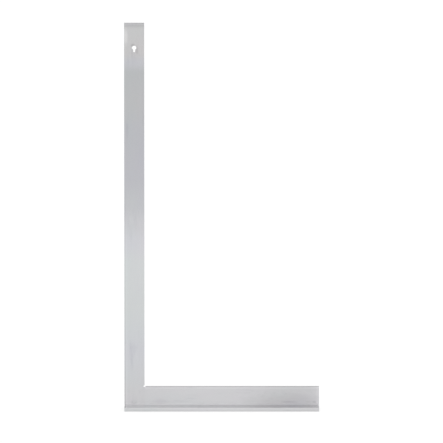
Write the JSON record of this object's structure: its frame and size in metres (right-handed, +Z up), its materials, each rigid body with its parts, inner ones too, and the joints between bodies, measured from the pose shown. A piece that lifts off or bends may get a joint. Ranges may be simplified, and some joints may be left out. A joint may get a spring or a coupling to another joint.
{
  "type": "steel square",
  "caption": "L-shaped steel square of flat bar, with a keyhole for hanging in the long blade and a wider stop rail along the short arm that hooks over the edge of the work.",
  "frame": {"origin": "middle of the stop rail's flat underside, on which the square stands", "axes": "+Z up along the blade; X along the short arm, with the blade at the -X end; -Y is the front face"},
  "size_m": [0.3, 0.04, 0.6],
  "materials": {
    "plated_steel": "ground flat and bright zinc plated, satin, with a faint blue cast",
    "rivet_steel": "steel rivets, ground flush and plated with the bars",
    "screw_steel": "dull zinc-plated screws",
    "pin_steel": "ground and hardened pins"
  },
  "bodies": {
    "root": {"blade": "plated_steel", "arm": "plated_steel", "stop_rail": "plated_steel", "corner_rivet_1": "rivet_steel", "corner_rivet_2": "rivet_steel", "corner_rivet_3": "rivet_steel", "rail_screw_1": "screw_steel", "rail_screw_2": "screw_steel", "rail_screw_3": "screw_steel", "rail_screw_4": "screw_steel", "rail_screw_5": "screw_steel", "rail_screw_6": "screw_steel", "dowel_pin_1": "pin_steel", "dowel_pin_2": "pin_steel"}
  },
  "joints": []
}
